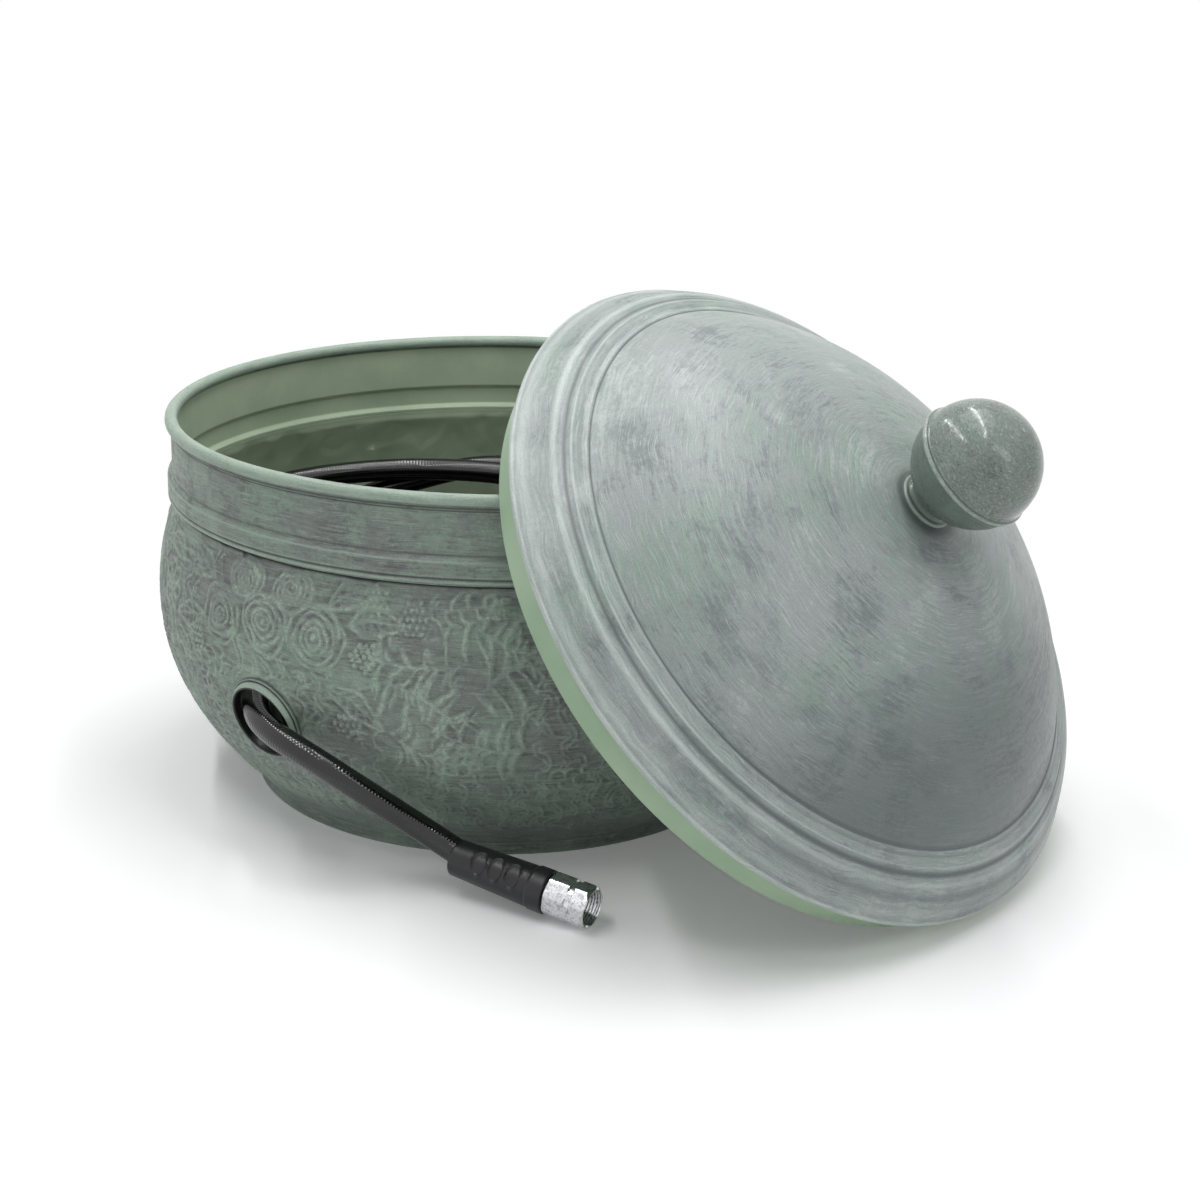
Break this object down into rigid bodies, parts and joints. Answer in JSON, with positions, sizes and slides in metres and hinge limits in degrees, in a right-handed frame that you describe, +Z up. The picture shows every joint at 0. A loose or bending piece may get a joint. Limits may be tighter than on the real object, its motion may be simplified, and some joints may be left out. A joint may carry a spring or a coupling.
{
  "type": "garden hose pot",
  "caption": "Embossed sheet-metal hose pot with an outlet in its belly, a leaning domed lid with a ball knob, and a coiled garden hose with its couplings.",
  "frame": {"origin": "on the pot's axis, in the plane of the floor", "axes": "+Z up along the pot's axis; the outlet faces -Y; the lid leans towards +X"},
  "size_m": [0.7132, 0.5449, 0.3863],
  "materials": {
    "pot_paint": "distressed sage and grey-green paint, embossed",
    "lid_paint": "cloudy grey-green brushed paint",
    "pale_paint": "plain pale sage green paint",
    "steel": "plain steel",
    "chrome": "bright plated",
    "brass": "turned brass",
    "hose_rubber": "black ribbed rubber, semi-gloss",
    "grip_rubber": "matt black moulded grip",
    "washer_rubber": "black rubber"
  },
  "bodies": {
    "pot": {"pot_belly": "pot_paint", "pot_collar": "pot_paint", "rim_wire": "steel", "foot_ring": "pot_paint", "base_pan": "pale_paint", "outlet_eyelet": "pot_paint", "hose_coil": "hose_rubber", "hose_top_turn": "hose_rubber", "hose_lead": "hose_rubber", "hose_tail": "hose_rubber", "grip_sleeve": "grip_rubber", "crimp_ferrule": "steel", "female_tailpiece": "brass", "hose_washer": "washer_rubber", "male_sleeve": "grip_rubber", "male_coupling": "chrome"},
    "lid": {"lid_shell": "lid_paint", "lid_skirt": "pale_paint", "knob_stem": "lid_paint", "knob_lower_shell": "lid_paint", "knob_upper_shell": "lid_paint", "knob_bolt": "steel", "knob_washer": "steel", "knob_nut": "steel"},
    "nut": {"swivel_nut": "chrome"}
  },
  "joints": [
    {"name": "lid_lift", "type": "hinge", "parent": "pot", "child": "lid", "pos_m": [-0.00592, 0, -0.04912], "axis": [0, -1, 0], "range_deg": [0, 48]},
    {"name": "nut_spin", "type": "hinge", "parent": "pot", "child": "nut", "pos_m": [0.247, -0.196, 0.0149], "axis": [0.9799, 0.164, -0.1132], "continuous": true}
  ]
}
